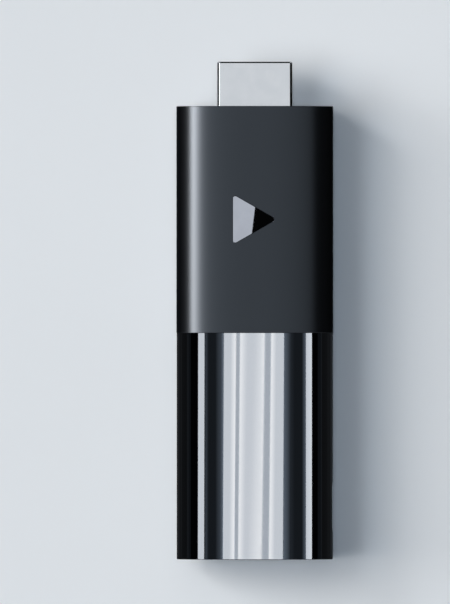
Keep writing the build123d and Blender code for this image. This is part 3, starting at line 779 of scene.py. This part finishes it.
def make_world():
    """A dim studio, brighter towards its corners and the foot, and pale where the camera sees it."""
    world = bpy.data.worlds.new("studio")
    bpy.context.scene.world = world
    world.use_nodes = True
    world.cycles_visibility.diffuse = False
    tree = world.node_tree
    nodes, links = tree.nodes, tree.links
    nodes.clear()

    def math_node(operation, first, second=0.0):
        node = nodes.new("ShaderNodeMath")
        node.operation = operation
        for socket, value in zip(node.inputs, (first, second)):
            if isinstance(value, bpy.types.NodeSocket):
                links.new(value, socket)
            else:
                socket.default_value = value
        return node.outputs[0]

    split = nodes.new("ShaderNodeSeparateXYZ")
    links.new(nodes.new("ShaderNodeTexCoord").outputs["Generated"], split.inputs[0])
    x, y = split.outputs["X"], split.outputs["Y"]
    diagonal = math_node("MULTIPLY", math_node("MULTIPLY", x, 2.0), y)
    footwards = math_node("MAXIMUM", math_node("MULTIPLY", y, -1.0), 0.0)
    corners = math_node("POWER", diagonal, WORLD_POWER)
    foot = math_node("POWER", footwards, WORLD_POWER)
    strength = math_node("ADD", math_node("MULTIPLY", corners, WORLD_DIAGONALS), WORLD_BASE)
    strength = math_node("ADD", math_node("MULTIPLY", foot, WORLD_FOOT), strength)
    lighting = nodes.new("ShaderNodeBackground")
    lighting.inputs["Color"].default_value = (*COLD, 1)
    links.new(strength, lighting.inputs["Strength"])
    seen = nodes.new("ShaderNodeBackground")
    seen.inputs["Color"].default_value = (*PALE, 1)
    choose = nodes.new("ShaderNodeMixShader")
    links.new(nodes.new("ShaderNodeLightPath").outputs["Is Camera Ray"], choose.inputs["Fac"])
    links.new(lighting.outputs[0], choose.inputs[1])
    links.new(seen.outputs[0], choose.inputs[2])
    links.new(choose.outputs[0], nodes.new("ShaderNodeOutputWorld").inputs["Surface"])


make_camera()
make_world()

# The floor: a wide key from the left, and the sky straight above
sun("key_lowest", 17, 18, 8, 0.33, NEUTRAL, on_floor)
sun("key_low_left", 20, 5, 23, 0.71, NEUTRAL, on_floor)
sun("key_low_behind", 34, 30, 14, 0.50, NEUTRAL, on_floor)
sun("key_middle", 35, 12, 38, 0.93, AMBER, on_floor)
sun("key_high_front", 48, -16, 22, 0.44, NEUTRAL, on_floor)
sun("key_high_behind", 56, 30, 19, 0.34, NEUTRAL, on_floor)
sun("key_top", 61, 0, 10, 0.13, COLD, on_floor)
sun("key_top_behind", 62, 70, 49, 0.34, WARM, on_floor)
sun("sky", 90, 0, 8, 0.58, COLDER, on_floor)

# The matt casing: a wide panel overhead, and a strip that makes the bright line on its left side
origin = Vector((0, 0, Z_MID * MM))
above = Vector((0.14, 0, 0))
overhead = panel("overhead", above + UP * 1.6, above, (2.96, 1.8), 1.0, COLDER, on_others)
shade(overhead, (1.55, 0.45))
strip_aim = origin + Vector((0, 0.02, 0))
strip_place = towards(38.7, 0) * 0.6 + strip_aim
left_strip = panel("left_strip", strip_place, strip_aim, (0.185, 0.42), 1.0, BLUISH, on_others)
shade(left_strip, (25.0, 12.5), (0.0, 2.0))
panel("left_glow", towards(50, 0) * 1.5 + origin, origin, (0.20, 1.6), 1.4, COLDEST, on_others)

# The plug: its flat top, the highlight and the dark line on its left side
above = Vector((0.055, 0.03, 0))
panel("plug_overhead", above + UP, above, (0.53, 0.40), 0.89, COOL, on_plug)
panel("plug_left", towards(63.5, 0), origin, (0.48, 1.0), 2.3, COOL, on_plug)
panel("plug_low_left", towards(-15, 0), origin, (1.6, 1.0), 0.06, COOL, on_plug)

# The glossy casing's flanks, and what shows inside the inlet and the plug's mouth
panel("rim_left", towards(-45, 0), origin, (0.9, 2.5), 0.055, COLD, on_gloss)
panel("rim_right", towards(-45, 180), origin, (0.9, 2.5), 0.055, COLD, on_gloss)
panel("side_left", towards(-2, 0), origin, (0.82, 2.5), 0.06, COLD, on_gloss)
panel("side_right", towards(-2, 180), origin, (0.82, 2.5), 0.065, COLD, on_gloss)
panel("inlet_light", towards(0, 180) * 0.8, origin, (0.7, 1.2), 1.0, NEUTRAL, on_fittings)
panel("mouth_light", Vector((0, 0.9, 0.1)), origin, (1.2, 0.6), 2.0, NEUTRAL, on_fittings, UP)

# The emblem mirrors the end of a card, so that one half of it is bright and the other is dark
lean = math.radians(EMBLEM_SLANT)
slant = Vector((math.sin(lean), math.cos(lean), 0))
below = Vector((-0.012, 0.018, 0))
emblem_card = panel("emblem_card", below + UP * 0.2, below, (0.024, 0.04), 1.0, COOL, on_emblem, slant)
shade(emblem_card, (0.63, 0.70))

# The glossy casing's bands, from left to right
BRIGHT = 10.1
EDGE = 5.2
GREY = 7.0
DARK = 0.15
FAINT = 0.08
card("far_left", -12.56, -11.86, (FAINT, FAINT), colour=COLDEST)
card("left_band", -10.47, -9.29, (BRIGHT, BRIGHT), (-0.05, -0.1))
card("left_glow_1", -9.16, -8.56, (0.9, DARK), colour=COLDEST)
card("left_glow_2", -8.56, -7.26, (DARK, DARK), colour=COLDEST)
card("left_glow_3", -7.26, -6.26, (DARK, 0.9), colour=COLDEST)
card("left_glow_4", -6.26, -5.72, (0.9, 2.6), (0.0, -0.16), colour=COLDEST)
card("centre_left", -5.72, -3.43, (BRIGHT, BRIGHT), (-0.16, -0.36))
card("centre_left_edge", -4.41, -3.43, (0.0, EDGE), (-0.36, -0.36), colour=WARMER)
card("left_line", -3.43, -2.66, (GREY - 0.3, GREY - 0.3), (-0.36, -0.45), colour=COLD)
card("centre", -2.66, 1.81, (BRIGHT, BRIGHT), (-0.45, -0.80))
card("centre_left_edge_2", -2.66, -1.36, (EDGE, 0.0), (-0.45, -0.45), colour=WARMER)
card("centre_right_edge", -0.06, 1.81, (0.0, EDGE), (-0.80, -0.80), colour=WARMER)
card("right_line", 1.81, 2.99, (GREY - 0.2, GREY - 0.2), (-0.80, -0.42), colour=COLD)
card("centre_right", 2.99, 5.395, (BRIGHT, BRIGHT), (-0.42, -0.22))
card("centre_right_edge_2", 2.99, 3.99, (EDGE, 0.0), (-0.42, -0.42), colour=WARMER)
card("right_glow_1", 5.395, 6.54, (1.95, 0.33), (-0.22, 0.0), colour=COLDEST)
card("right_glow_2", 6.54, 7.34, (0.33, DARK), colour=COLDEST)
card("right_glow_3", 7.34, 8.74, (DARK, DARK), colour=COLDEST)
card("right_glow_4", 8.74, 9.42, (DARK, 1.7), colour=COLDEST)
card("right_band", 9.45, 10.55, (BRIGHT * 0.97, BRIGHT * 1.15))
card("far_right", 11.64, 12.44, (FAINT, FAINT), colour=COLDEST)

# Bands for the views from the front right and the back left, and a soft glow on the far end
from_right = view_place(45, 25)
from_left = view_place(225, 15)
card("right_view_band", 3.4, 7.6, (1.5, 5.0), eye=from_right)
card("right_view_line", 10.5, 11.1, (8.0, 8.0), eye=from_right)
card("left_view_band", -7.6, -3.4, (3.5, 1.0), eye=from_left)
card("left_view_line", -11.1, -10.5, (7.0, 7.0), eye=from_left)
foot_place = Vector((0, -0.3, -0.006))
foot_card = panel("foot_card", foot_place, origin, (0.05, 0.3), 1.0, COLD, on_gloss, Vector((1, 0, 0)))
shade(foot_card, (0.0, 0.9))

bpy.context.scene.view_settings.view_transform = "Standard"
